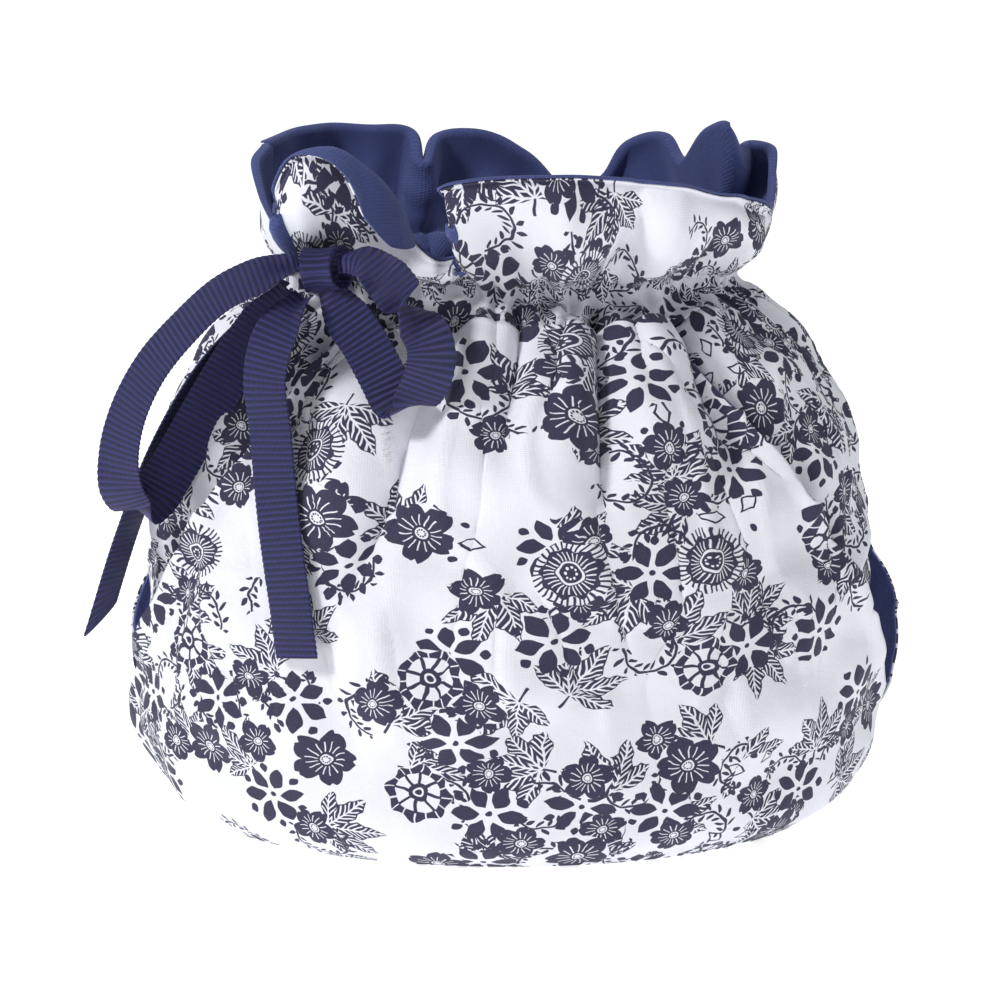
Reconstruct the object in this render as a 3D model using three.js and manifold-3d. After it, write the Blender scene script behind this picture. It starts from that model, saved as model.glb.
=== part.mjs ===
// A lined drawstring knitting bag that stands on a flat oval base.
// Millimetres. +X is the bag's right, -Y its front, +Z up. The origin is under the middle of the base.
// Cloth is drawn as thin closed shells, layer over layer, on one shared body surface.
import * as THREE from 'three';
import { mergeVertices } from 'three/addons/utils/BufferGeometryUtils.js';
import Module from 'manifold-3d';

// Driving dimensions
const clothThickness = 0.8;
const layerGap = 0.4;
const baseThickness = 1.0;
const ribbonWidth = 15;
const ribbonThickness = 0.8;
const levelStep = 0.5;
const seamGapDegrees = 0.4;

// The body surface, from the floor up: half width, half depth and height at each level.
const levels = {
  floor: 0, heel: 1, low: 2, middle: 3, high: 4, shoulder: 5, underCasing: 6, casing: 7, flare: 8, rim: 9,
};
const bodyCurve = new THREE.CatmullRomCurve3([
  new THREE.Vector3(98, 62, 0),
  new THREE.Vector3(112, 73, 12),
  new THREE.Vector3(117, 78, 40),
  new THREE.Vector3(118, 78, 85),
  new THREE.Vector3(112, 71, 125),
  new THREE.Vector3(97, 58, 152),
  new THREE.Vector3(80, 45, 168),
  new THREE.Vector3(70, 36, 178),
  new THREE.Vector3(74, 42, 192),
  new THREE.Vector3(81, 54, 218),
]);
const topLevel = levels.rim;

// Where the cloth is cut and sewn, as levels on the body curve
const wallBottom = 0.12;
const casingBottom = 6.2;
const casingTop = 7.55;
const headingBottom = 7.72;
const pocketTop = 6.0;

// Slanted pocket mouths: the angle from the panel's centre line to its free edge
const mouthAngleTop = 38;
const mouthAngleSide = 88;
const mouthTopHeight = 168;
const mouthFootHeight = 38;
const mouthSlantPower = 1.3;
const mouthGape = 9;
const mouthGapeSpread = 26;

const radians = (degrees) => degrees * Math.PI / 180;
const smooth = (value, low, high) => THREE.MathUtils.smoothstep(value, low, high);

const materials = {
  printedCotton: new THREE.MeshStandardMaterial({ color: 0xe6e8f2, roughness: 0.9, metalness: 0 }),
  navyCotton: new THREE.MeshStandardMaterial({ color: 0x3c4a82, roughness: 0.9, metalness: 0 }),
  navyRibbon: new THREE.MeshStandardMaterial({ color: 0x32376e, roughness: 0.7, metalness: 0 }),
  thread: new THREE.MeshStandardMaterial({ color: 0xd8dae6, roughness: 0.8, metalness: 0 }),
};

const bag = new THREE.Group();

function addNode(name, geometry, material) {
  const mesh = new THREE.Mesh(geometry, material);
  mesh.name = name;
  bag.add(mesh);
  return mesh;
}

// A point of the body surface; angle 0 is the front centre, 90 the right side, 180 the back.
function surfacePoint(angle, level) {
  const section = bodyCurve.getPoint(level / topLevel);
  const turn = radians(angle);
  return new THREE.Vector3(section.x * Math.sin(turn), -section.y * Math.cos(turn), section.z);
}

function surfaceNormal(angle, level) {
  const step = 0.05;
  const lower = Math.max(level - step, 0);
  const upper = Math.min(level + step, topLevel);
  const along = surfacePoint(angle + 1, level).sub(surfacePoint(angle - 1, level));
  const up = surfacePoint(angle, upper).sub(surfacePoint(angle, lower));
  return along.cross(up).normalize();
}

function offsetPoint(angle, level, offset) {
  return surfacePoint(angle, level).addScaledVector(surfaceNormal(angle, level), offset);
}

// Joins two matching grids of points, outer and inner, into one closed solid.
function closedShell(outer, inner) {
  const rows = outer.length;
  const columns = outer[0].length;
  const positions = [];
  const index = [];
  for (const grid of [outer, inner]) {
    for (const row of grid) {
      for (const point of row) positions.push(point.x, point.y, point.z);
    }
  }
  const layerSize = rows * columns;
  const outerAt = (row, column) => row * columns + column;
  const innerAt = (row, column) => layerSize + row * columns + column;
  const quad = (a, b, c, d) => index.push(a, b, c, a, c, d);
  for (let row = 0; row < rows - 1; row += 1) {
    for (let column = 0; column < columns - 1; column += 1) {
      quad(outerAt(row, column), outerAt(row, column + 1), outerAt(row + 1, column + 1), outerAt(row + 1, column));
      quad(innerAt(row, column), innerAt(row + 1, column), innerAt(row + 1, column + 1), innerAt(row, column + 1));
    }
  }
  const lastRow = rows - 1;
  const lastColumn = columns - 1;
  for (let column = 0; column < lastColumn; column += 1) {
    quad(outerAt(0, column), innerAt(0, column), innerAt(0, column + 1), outerAt(0, column + 1));
    quad(outerAt(lastRow, column), outerAt(lastRow, column + 1), innerAt(lastRow, column + 1), innerAt(lastRow, column));
  }
  for (let row = 0; row < lastRow; row += 1) {
    quad(outerAt(row, 0), outerAt(row + 1, 0), innerAt(row + 1, 0), innerAt(row, 0));
    quad(outerAt(row, lastColumn), innerAt(row, lastColumn), innerAt(row + 1, lastColumn), outerAt(row + 1, lastColumn));
  }
  const geometry = new THREE.BufferGeometry();
  geometry.setAttribute('position', new THREE.Float32BufferAttribute(positions, 3));
  geometry.setIndex(index);
  geometry.computeVertexNormals();
  return geometry;
}

// Every panel has its rows at the same levels, so that layers stay parallel.
function sharedLevels([bottom, top]) {
  const inside = [];
  for (let level = 0; level < topLevel; level += levelStep) {
    if (level > bottom + levelStep / 4 && level < top - levelStep / 4) inside.push(level);
  }
  return [bottom, ...inside, top];
}

// A cloth panel on the body surface. anglesAt(level) gives its two edges, offsetAt(angle, level)
// the distance of its inner face from the body surface.
function clothPanel({ anglesAt, levelRange, columns, offsetAt, thickness = clothThickness }) {
  const outer = [];
  const inner = [];
  for (const level of sharedLevels(levelRange)) {
    const [left, right] = anglesAt(level);
    const outerRow = [];
    const innerRow = [];
    for (let column = 0; column <= columns; column += 1) {
      const angle = THREE.MathUtils.lerp(left, right, column / columns);
      const offset = offsetAt(angle, level);
      innerRow.push(offsetPoint(angle, level, offset));
      outerRow.push(offsetPoint(angle, level, offset + thickness));
    }
    outer.push(outerRow);
    inner.push(innerRow);
  }
  return closedShell(outer, inner);
}

// A flat ribbon along a route of hand-placed stations: a point and the direction across the ribbon.
function ribbonStrip(stations, stepsPerStation = 3) {
  const route = new THREE.CatmullRomCurve3(stations.map(([point]) => new THREE.Vector3(...point)));
  const across = new THREE.CatmullRomCurve3(stations.map(([, side]) => new THREE.Vector3(...side)));
  const steps = (stations.length - 1) * stepsPerStation;
  const faceUp = [];
  const faceDown = [];
  for (let step = 0; step <= steps; step += 1) {
    const t = step / steps;
    const tangent = route.getTangent(t);
    const side = across.getPoint(t);
    side.addScaledVector(tangent, -side.dot(tangent)).normalize();
    const face = new THREE.Vector3().crossVectors(side, tangent).normalize();
    const centre = route.getPoint(t);
    const rowUp = [];
    const rowDown = [];
    for (const edge of [-0.5, 0, 0.5]) {
      const point = centre.clone().addScaledVector(side, edge * ribbonWidth);
      rowUp.push(point.clone().addScaledVector(face, ribbonThickness / 2));
      rowDown.push(point.addScaledVector(face, -ribbonThickness / 2));
    }
    faceUp.push(rowUp);
    faceDown.push(rowDown);
  }
  return closedShell(faceUp, faceDown);
}

function ovalPlate(halfWidth, halfDepth, bottom, thickness) {
  const outline = new THREE.Shape();
  outline.absellipse(0, 0, halfWidth, halfDepth, 0, 2 * Math.PI, false, 0);
  const geometry = new THREE.ExtrudeGeometry(outline, {
    depth: thickness, bevelEnabled: false, curveSegments: 36, steps: 1,
  });
  geometry.translate(0, 0, bottom);
  return geometry;
}

// Edge angles of a panel that runs from side seam to side seam about a centre line
const frontEdges = () => [-90 + seamGapDegrees, 90 - seamGapDegrees];
const backEdges = () => [90 + seamGapDegrees, 270 - seamGapDegrees];

// ---- bag body: printed outer shell and navy lining
const outerOffset = -clothThickness;
const liningOffset = outerOffset - layerGap - clothThickness;
const casingChannelDepth = 2.2;
const wallColumns = 18;

function liningOffsetAt(angle, level) {
  return liningOffset - casingChannelDepth * smooth(level, levels.shoulder, casingBottom);
}

const floorSection = bodyCurve.getPoint(0);
addNode(
  'outer_base',
  ovalPlate(floorSection.x, floorSection.y, 0, baseThickness),
  materials.printedCotton,
);
const liningBaseInset = 3;
addNode(
  'lining_base',
  ovalPlate(floorSection.x - liningBaseInset, floorSection.y - liningBaseInset, baseThickness + layerGap, clothThickness),
  materials.navyCotton,
);
const walls = { front: frontEdges, back: backEdges };
for (const [side, anglesAt] of Object.entries(walls)) {
  addNode(`outer_${side}`, clothPanel({
    anglesAt, levelRange: [wallBottom, casingBottom - 0.06], columns: wallColumns,
    offsetAt: () => outerOffset,
  }), materials.printedCotton);
  addNode(`lining_${side}`, clothPanel({
    anglesAt, levelRange: [wallBottom + 0.12, casingTop], columns: wallColumns,
    offsetAt: liningOffsetAt,
  }), materials.navyCotton);
}

// ---- outer pockets: a lined panel over the front and one over the back, open at both slanted sides
function mouthAngle(level) {
  const height = bodyCurve.getPoint(level / topLevel).z;
  const fraction = (mouthTopHeight - height) / (mouthTopHeight - mouthFootHeight);
  const slant = Math.pow(THREE.MathUtils.clamp(fraction, 0, 1), mouthSlantPower);
  return THREE.MathUtils.lerp(mouthAngleTop, mouthAngleSide, slant);
}

function gapeAt(centreAngle, angle, level) {
  const fromMouth = mouthAngle(level) - Math.abs(angle - centreAngle);
  const nearMouth = Math.exp(-Math.pow(fromMouth / mouthGapeSpread, 2));
  const nearFoot = smooth(level, 0.5, levels.low) * (1 - smooth(level, levels.middle, levels.shoulder));
  return mouthGape * nearMouth * nearFoot;
}

const pocketLiningOffset = 0.8;
const pocketOuterOffset = pocketLiningOffset + clothThickness + layerGap;
const pockets = { front: { centre: 0, gape: 0.15 }, back: { centre: 180, gape: 1 } };
for (const [side, { centre, gape }] of Object.entries(pockets)) {
  const anglesAt = (level) => [centre - mouthAngle(level), centre + mouthAngle(level)];
  const layers = [
    [`${side}_pocket`, pocketOuterOffset, materials.printedCotton],
    [`${side}_pocket_lining`, pocketLiningOffset, materials.navyCotton],
  ];
  for (const [name, layerOffset, material] of layers) {
    addNode(name, clothPanel({
      anglesAt, levelRange: [wallBottom, pocketTop], columns: 16,
      offsetAt: (angle, level) => layerOffset + gape * gapeAt(centre, angle, level),
    }), material);
  }
}

// ---- casing: the outer cloth band, its two stitch rows and the ribbon that runs inside it
const wasm = await Module();
wasm.setup();

function toManifold(geometry) {
  const bare = geometry.clone();
  bare.deleteAttribute('normal');
  bare.deleteAttribute('uv');
  const merged = mergeVertices(bare, 1e-4);
  return new wasm.Manifold(new wasm.Mesh({
    numProp: 3,
    vertProperties: new Float32Array(merged.attributes.position.array),
    triVerts: new Uint32Array(merged.index.array),
  }));
}

function toGeometry(solid) {
  const mesh = solid.getMesh();
  const geometry = new THREE.BufferGeometry();
  geometry.setAttribute('position', new THREE.BufferAttribute(mesh.vertProperties, 3));
  geometry.setIndex(new THREE.BufferAttribute(mesh.triVerts, 1));
  geometry.computeVertexNormals();
  return geometry;
}

const exitAngle = -50;
const slotWidth = 17;
const slotHeight = 4;
function casingWithSlot(geometry) {
  const cutter = new THREE.BoxGeometry(slotWidth, 14, slotHeight);
  cutter.applyMatrix4(new THREE.Matrix4().makeRotationZ(radians(exitAngle)));
  const centre = surfacePoint(exitAngle, levels.casing);
  cutter.translate(centre.x, centre.y, centre.z);
  return toGeometry(toManifold(geometry).subtract(toManifold(cutter)));
}

const casingColumns = 18;
for (const [side, anglesAt] of Object.entries(walls)) {
  const band = clothPanel({
    anglesAt, levelRange: [casingBottom, casingTop], columns: casingColumns,
    offsetAt: () => outerOffset,
  });
  addNode(`casing_${side}`, side === 'front' ? casingWithSlot(band) : band, materials.printedCotton);
}

const ringEdges = () => [-180 + seamGapDegrees, 180 - seamGapDegrees];
const stitchHeightInLevels = 0.05;
for (const [name, level] of [['casing_stitch_lower', 6.32], ['casing_stitch_upper', 7.4]]) {
  addNode(name, clothPanel({
    anglesAt: ringEdges, levelRange: [level, level + stitchHeightInLevels], columns: 36,
    offsetAt: () => 0.5, thickness: 0.4,
  }), materials.thread);
}

const ribbonInCasingOffset = outerOffset - 2 * layerGap - ribbonThickness;
addNode('drawstring_in_casing', clothPanel({
  anglesAt: () => [exitAngle + 15, 360 + exitAngle - 15], levelRange: [6.3, 7.42], columns: 36,
  offsetAt: () => ribbonInCasingOffset, thickness: ribbonThickness,
}), materials.navyRibbon);

// ---- heading: the gathered frill above the casing, in four stretches so that front and back can fold
const headingStretches = {
  heading_front: { low: [-20, 26], high: [-36, 47] },
  heading_right: { low: [52, 128], high: [60, 120] },
  heading_back: { low: [154, 206], high: [133, 227] },
  heading_left: { low: [232, 306], high: [240, 300] },
};
const headingColumns = 8;
for (const [name, { low, high }] of Object.entries(headingStretches)) {
  const anglesAt = (level) => {
    const rise = (level - headingBottom) / (levels.rim - headingBottom);
    return [0, 1].map((edge) => THREE.MathUtils.lerp(low[edge], high[edge], Math.min(1, 3 * rise)));
  };
  const levelRange = [headingBottom, levels.rim];
  addNode(name, clothPanel({
    anglesAt, levelRange, columns: headingColumns, offsetAt: () => outerOffset,
  }), materials.printedCotton);
  addNode(`${name}_lining`, clothPanel({
    anglesAt, levelRange, columns: headingColumns, offsetAt: () => liningOffset,
  }), materials.navyCotton);
}

// ---- ribbon bow: the knot in front of the casing's slot, two loops and two tails
const knotCentre = new THREE.Vector3(-58.5, -45, 188);
const knotSize = new THREE.Vector3(12.6, 13, 15);
const knot = new THREE.SphereGeometry(0.5, 14, 10);
knot.scale(knotSize.x, knotSize.y, knotSize.z);
knot.translate(knotCentre.x, knotCentre.y, knotCentre.z);
addNode('bow_knot', knot, materials.navyRibbon);

const ribbonRoutes = {
  ribbon_lead: [
    [[-54.4, -24.4, 178], [0.85, -0.52, 0]],
    [[-56.4, -28.4, 179.5], [0.85, -0.52, 0]],
    [[-57.4, -33, 181.5], [0.9, -0.4, -0.1]],
    [[-57.6, -37.5, 184], [0.95, -0.25, -0.15]],
  ],
  bow_left_loop: [
    [[-65.5, -50, 193.5], [0.2, -0.75, -0.62]],
    [[-77, -52, 190.5], [0.2, -0.8, -0.56]],
    [[-89.5, -53, 184.5], [0.3, -0.8, -0.52]],
    [[-102, -53, 173], [0.42, -0.78, -0.46]],
    [[-112.5, -52, 160], [0.55, -0.72, -0.42]],
    [[-120, -51, 144.5], [0.7, -0.62, -0.3]],
    [[-123, -50, 130], [0.85, -0.48, -0.2]],
    [[-122, -48, 118.5], [0.97, -0.2, -0.1]],
    [[-117.5, -44, 112.5], [0.97, 0, -0.2]],
    [[-112.5, -40.5, 115.5], [0.92, 0, -0.35]],
    [[-106.5, -39, 125], [0.85, 0, -0.5]],
    [[-97, -38.5, 141.5], [0.82, 0, -0.57]],
    [[-86.5, -39, 159], [0.82, 0, -0.57]],
    [[-76, -41, 174], [0.8, 0, -0.6]],
    [[-68.5, -43.5, 184], [0.78, 0, -0.62]],
  ],
  bow_right_loop: [
    [[-52, -52, 194.5], [0.2, -0.85, -0.45]],
    [[-44.5, -57, 195.5], [0.25, -0.8, -0.5]],
    [[-37.5, -61, 190.5], [0.4, -0.45, -0.8]],
    [[-30.5, -65, 182], [0.6, -0.25, -0.76]],
    [[-24.5, -69, 173], [0.85, -0.2, -0.5]],
    [[-24, -71, 165.5], [0.98, -0.1, -0.2]],
    [[-26.5, -70, 158], [0.97, 0, 0.2]],
    [[-30.5, -67, 152], [0.95, 0.1, 0.3]],
    [[-35, -62, 152], [0.9, 0.2, 0.4]],
    [[-39, -59, 159], [0.85, 0.1, 0.5]],
    [[-44.5, -55, 168.5], [0.8, 0, 0.6]],
    [[-52.5, -51.5, 180], [0.75, 0, 0.65]],
  ],
  ribbon_front_tail: [
    [[-63.5, -52, 183.5], [0.7, -0.7, -0.1]],
    [[-69.5, -57, 178], [0.75, -0.6, -0.28]],
    [[-74, -60, 169.5], [0.86, -0.48, -0.2]],
    [[-76, -61, 158], [0.88, -0.47, 0]],
    [[-74.5, -62, 144], [0.88, -0.47, 0]],
    [[-73, -64, 125.5], [0.88, -0.47, 0]],
    [[-71, -68, 107], [0.88, -0.47, 0]],
    [[-68.5, -70.5, 88.5], [0.88, -0.47, 0]],
    [[-66.5, -71.5, 71.5], [0.88, -0.47, 0]],
  ],
  ribbon_rear_tail: [
    [[-70.5, -30, 182.5], [0.1, 0.95, 0.1]],
    [[-80.5, -28, 174], [0.2, 0.95, 0]],
    [[-95.5, -28, 156.5], [0.3, 0.9, -0.15]],
    [[-110.5, -27, 130], [0.38, 0.9, -0.19]],
    [[-122.5, -26, 100], [0.4, 0.9, -0.15]],
    [[-132, -26, 70.5], [0.4, 0.9, -0.15]],
  ],
};
for (const [name, stations] of Object.entries(ribbonRoutes)) {
  addNode(name, ribbonStrip(stations), materials.navyRibbon);
}

export default bag;
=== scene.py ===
"""Looks of a lined drawstring knitting bag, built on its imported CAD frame.

Metres, +X is the bag's right, -Y its front, +Z up. Cloth coordinates are in millimetres of flat cloth.
"""
import math

import bpy
import numpy as np
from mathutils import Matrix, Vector


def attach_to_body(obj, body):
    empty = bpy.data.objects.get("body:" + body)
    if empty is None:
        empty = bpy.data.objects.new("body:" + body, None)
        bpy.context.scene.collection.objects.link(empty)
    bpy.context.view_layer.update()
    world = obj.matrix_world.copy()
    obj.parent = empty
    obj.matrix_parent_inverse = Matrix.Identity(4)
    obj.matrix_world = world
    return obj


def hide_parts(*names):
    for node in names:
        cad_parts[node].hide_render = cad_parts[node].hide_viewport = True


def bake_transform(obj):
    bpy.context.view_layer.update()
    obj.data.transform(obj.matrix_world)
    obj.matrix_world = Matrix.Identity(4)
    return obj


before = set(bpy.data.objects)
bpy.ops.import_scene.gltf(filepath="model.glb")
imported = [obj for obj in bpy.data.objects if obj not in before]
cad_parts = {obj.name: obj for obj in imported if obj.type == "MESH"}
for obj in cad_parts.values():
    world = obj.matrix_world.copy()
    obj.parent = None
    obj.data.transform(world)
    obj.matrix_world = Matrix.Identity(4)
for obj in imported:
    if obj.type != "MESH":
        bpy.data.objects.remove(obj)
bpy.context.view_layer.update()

MM = 0.001
CLOTH_UV = "Cloth"
CLOTH_PER_UV = 100.0  # millimetres of cloth in one unit of the UV map

# ---------------------------------------------------------------- numbers shared with the CAD
# The body surface from the floor up: half width, half depth and height at each level, in millimetres.
SECTIONS = [
    (98, 62, 0),
    (112, 73, 12),
    (117, 78, 40),
    (118, 78, 85),
    (112, 71, 125),
    (97, 58, 152),
    (80, 45, 168),
    (70, 36, 178),
    (74, 42, 192),
    (81, 54, 218),
]
WALL_BOTTOM = 0.12
CASING_BOTTOM = 6.2
CASING_TOP = 7.55
POCKET_TOP = 6.06
RIBBON_WIDTH = 15.0
GIRTH = 620.0  # flat cloth round the whole bag

# ---------------------------------------------------------------- camera and light
CAMERA_AIM = Vector((-0.0042, 0.0, 0.1054))
CAMERA_RISE = math.radians(15)
CAMERA_LENS = 150.0
FRAME_WIDTH = 0.3250  # metres across the picture at the aim point
SENSOR_WIDTH = 36.0
LIGHT_AIM = Vector((0, 0, 0.1))
SOFT_LIGHT = 0.27


def make_camera():
    data = bpy.data.cameras.new("camera")
    data.lens = CAMERA_LENS
    data.sensor_width = SENSOR_WIDTH
    distance = FRAME_WIDTH * CAMERA_LENS / SENSOR_WIDTH
    back = Vector((0, -math.cos(CAMERA_RISE), math.sin(CAMERA_RISE)))
    camera = bpy.data.objects.new("camera", data)
    camera.location = CAMERA_AIM + back * distance
    camera.rotation_mode = "QUATERNION"
    camera.rotation_quaternion = (-back).to_track_quat("-Z", "Y")
    bpy.context.scene.collection.objects.link(camera)
    bpy.context.scene.camera = camera


def make_light(name, place, size, watts):
    data = bpy.data.lights.new(name, "AREA")
    data.shape = "DISK"
    data.size = size
    data.energy = watts
    light = bpy.data.objects.new(name, data)
    light.location = place
    light.rotation_mode = "QUATERNION"
    light.rotation_quaternion = (LIGHT_AIM - Vector(place)).to_track_quat("-Z", "Y")
    bpy.context.scene.collection.objects.link(light)


make_camera()


# ---------------------------------------------------------------- curves and surfaces
def centripetal(points, at):
    """Points of a centripetal Catmull-Rom curve; at runs from 0 to the last point's index."""
    points = np.asarray(points, float)
    padded = np.vstack([2 * points[0] - points[1], points, 2 * points[-1] - points[-2]])
    at = np.asarray(at, float)
    start = np.clip(np.floor(at).astype(int), 0, len(points) - 2)
    t = (at - start)[..., None]
    p0, p1, p2, p3 = (padded[start + k] for k in range(4))
    d0, d1, d2 = (
        np.linalg.norm(b - a, axis=-1, keepdims=True) ** 0.5 for a, b in ((p0, p1), (p1, p2), (p2, p3))
    )
    d1 = np.where(d1 < 1e-4, 1.0, d1)
    d0 = np.where(d0 < 1e-4, d1, d0)
    d2 = np.where(d2 < 1e-4, d1, d2)
    slope1 = ((p1 - p0) / d0 - (p2 - p0) / (d0 + d1) + (p2 - p1) / d1) * d1
    slope2 = ((p2 - p1) / d1 - (p3 - p1) / (d1 + d2) + (p3 - p2) / d2) * d1
    square = -3 * p1 + 3 * p2 - 2 * slope1 - slope2
    cube = 2 * p1 - 2 * p2 + slope1 + slope2
    return p1 + slope1 * t + square * t**2 + cube * t**3


LEVEL_STEPS = np.linspace(0, len(SECTIONS) - 1, 400)
LEVEL_POINTS = centripetal(SECTIONS, LEVEL_STEPS)
LEVEL_RISE = np.concatenate(
    [[0], np.cumsum(np.linalg.norm(np.diff(LEVEL_POINTS[:, [0, 2]], axis=0), axis=1))]
)


def rise_of(level):
    """Millimetres of cloth from the floor up to a level."""
    return np.interp(level, LEVEL_STEPS, LEVEL_RISE)


def level_of(rise):
    return np.interp(rise, LEVEL_RISE, LEVEL_STEPS)


def body_point(angle, level):
    """Points of the body surface in millimetres; angle 0 is the front centre, 90 the right side."""
    section = centripetal(SECTIONS, level)
    turn = np.radians(angle)
    return np.stack(
        [section[..., 0] * np.sin(turn), -section[..., 1] * np.cos(turn), section[..., 2]], axis=-1
    )


def grid_normals(points):
    """Unit normals of a grid of points whose columns run to the right seen from outside."""
    along = np.gradient(points, axis=1)
    up = np.gradient(points, axis=0)
    normal = np.cross(along, up)
    return normal / np.maximum(np.linalg.norm(normal, axis=-1, keepdims=True), 1e-9)


def smoothstep(value, low, high):
    t = np.clip((np.asarray(value, float) - low) / (high - low), 0, 1)
    return t * t * (3 - 2 * t)


def bump(value, centre, width):
    return np.exp(-(((value - centre) / width) ** 2))


def swell(u, v, scale, seed, waves=7):
    """Smooth noise from -1 to 1 over cloth coordinates, with features about scale millimetres wide."""
    rng = np.random.default_rng(seed)
    total = np.zeros(np.broadcast(u, v).shape)
    for _ in range(waves):
        heading = rng.uniform(0, 2 * math.pi)
        pitch = scale * rng.uniform(1.4, 3.2)
        shift = rng.uniform(0, 2 * math.pi)
        total += np.sin((u * math.cos(heading) + v * math.sin(heading)) * 2 * math.pi / pitch + shift)
    return total / waves**0.5 / 1.4


# ---------------------------------------------------------------- folds of the cloth
PLEAT_PITCH = 11.5  # flat cloth in one gather
CASING_MIDDLE_RISE = float(rise_of(6.9))
CASING_BOTTOM_RISE = float(rise_of(CASING_BOTTOM))

# Creases and soft ridges that fan out from the neck of the front and lie across the body: the two
# ends, each across and up, then the width and the height.
FRONT_FOLDS = [
    ((27, 174), (31, 102), 3.4, -10.0),
    ((19, 177), (11, 138), 2.6, -5.0),
    ((36, 177), (45, 138), 2.6, -5.0),
    ((-13, 176), (-22, 140), 2.6, -4.5),
    ((37, 174), (48, 116), 6.0, 5.0),
    ((17, 174), (16, 104), 6.5, 5.5),
    ((4, 172), (-4, 122), 3.6, -6.5),
    ((-8, 172), (-24, 108), 6.5, 4.6),
    ((-22, 170), (-56, 66), 4.2, -6.5),
    ((-34, 168), (-72, 84), 7.5, 4.6),
    ((49, 172), (78, 118), 3.6, -6.5),
    ((60, 170), (92, 122), 6.0, 3.6),
    ((-50, 166), (-92, 112), 5.5, -4.0),
    ((-62, 160), (-102, 120), 6.5, 3.0),
    ((-60, 78), (-50, 24), 8.0, -3.4),
    ((-44, 90), (-30, 30), 11.0, 3.0),
    ((4, 66), (62, 40), 10.0, 2.4),
    ((30, 100), (84, 66), 12.0, 2.2),
]


def near_segment(x, z, start, end):
    """Distance to a segment and how far along it the nearest point lies, from 0 to 1."""
    along = np.array(end, float) - np.array(start, float)
    t = np.clip(((x - start[0]) * along[0] + (z - start[1]) * along[1]) / (along @ along), 0, 1)
    return np.hypot(x - start[0] - t * along[0], z - start[1] - t * along[1]), t


def gathers(u):
    """Rounded gathers with sharp creases between them, from 0 in a crease to 1 on a gather."""
    warped = u + 2.6 * np.sin(u / 19.0) + 1.8 * np.sin(u / 7.3 + 1.1)
    small = np.sqrt(np.cos(warped * math.pi / PLEAT_PITCH) ** 2 + 0.03)
    height = 0.72 + 0.28 * np.sin(u / 11.7 + 0.6) * np.cos(u / 29.0)
    return small * height


def fold_height(angle, level):
    """How far the cloth stands off the body surface, in millimetres."""
    u = angle * GIRTH / 360
    v = rise_of(level)
    below = CASING_BOTTOM_RISE - v
    from_neck = np.abs(v - CASING_MIDDLE_RISE)
    under = smoothstep(below, -6, 2)
    cinched = 5.0 - 1.2 * smoothstep(from_neck, 4, 13)
    near_neck = np.exp(-((np.maximum(below, 0) / 18) ** 1.4))
    height = cinched * near_neck * gathers(u)
    wander = u + 0.10 * below * np.sin(u / 23.0)
    middle = np.sqrt(np.cos(wander * math.pi / 31.0 + 0.5) ** 2 + 0.05)
    height += 3.0 * under * np.exp(-(((np.maximum(below, 0) - 12) / 24) ** 2)) * middle
    wide = 0.5 + 0.5 * np.cos(wander * 2 * math.pi / 57.0 + 1.3 * np.sin(u / 61.0))
    height += 3.4 * under * np.exp(-(((np.maximum(below, 0) - 34) / 34) ** 2)) * wide
    point = body_point(angle, level)
    front = smoothstep(-point[..., 1], 0, 18)
    for start, end, width, depth in FRONT_FOLDS:
        distance, t = near_segment(point[..., 0], point[..., 2], start, end)
        fade = (1 - smoothstep(t, 0.35, 1.0)) * (1 - smoothstep(point[..., 2], 170, 178))
        spread = width * (0.75 + 0.8 * t)
        height += depth * front * fade * np.exp(-((distance / spread) ** 2))
    crease = (1 - np.abs(swell(u, v * 0.42, 21, 31))) ** 5
    crease -= 0.5 * (1 - np.abs(swell(u, v * 0.6, 17, 44))) ** 6
    height += 2.2 * smoothstep(v, 30, 90) * (1 - smoothstep(v, 176, 186)) * crease
    body = smoothstep(v, 4, 40) * (1 - smoothstep(v, CASING_BOTTOM_RISE - 20, CASING_BOTTOM_RISE))
    height += 2.3 * body * swell(u, v, 24, 5) + 0.8 * body * swell(u, v, 11, 8)
    x, z = point[..., 0], point[..., 2]
    under_loop = front * bump(x, -37, 15) * bump(z, 160, 17)
    under_tail = front * bump(x, -73, 11) * smoothstep(z, 55, 75) * (1 - smoothstep(z, 150, 165))
    pressed = np.maximum(under_loop, under_tail)
    return height * (1 - 0.8 * pressed) - 1.9 * pressed


# ---------------------------------------------------------------- meshes
def link(obj):
    bpy.context.scene.collection.objects.link(obj)
    return obj


def attach(piece, body, slot, *nodes):
    """Hang a piece on the body it rides on and hide the CAD nodes it stands for. slot, the cloth it is,
    is not used.
    """
    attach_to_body(piece, body)
    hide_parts(*nodes)


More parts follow.
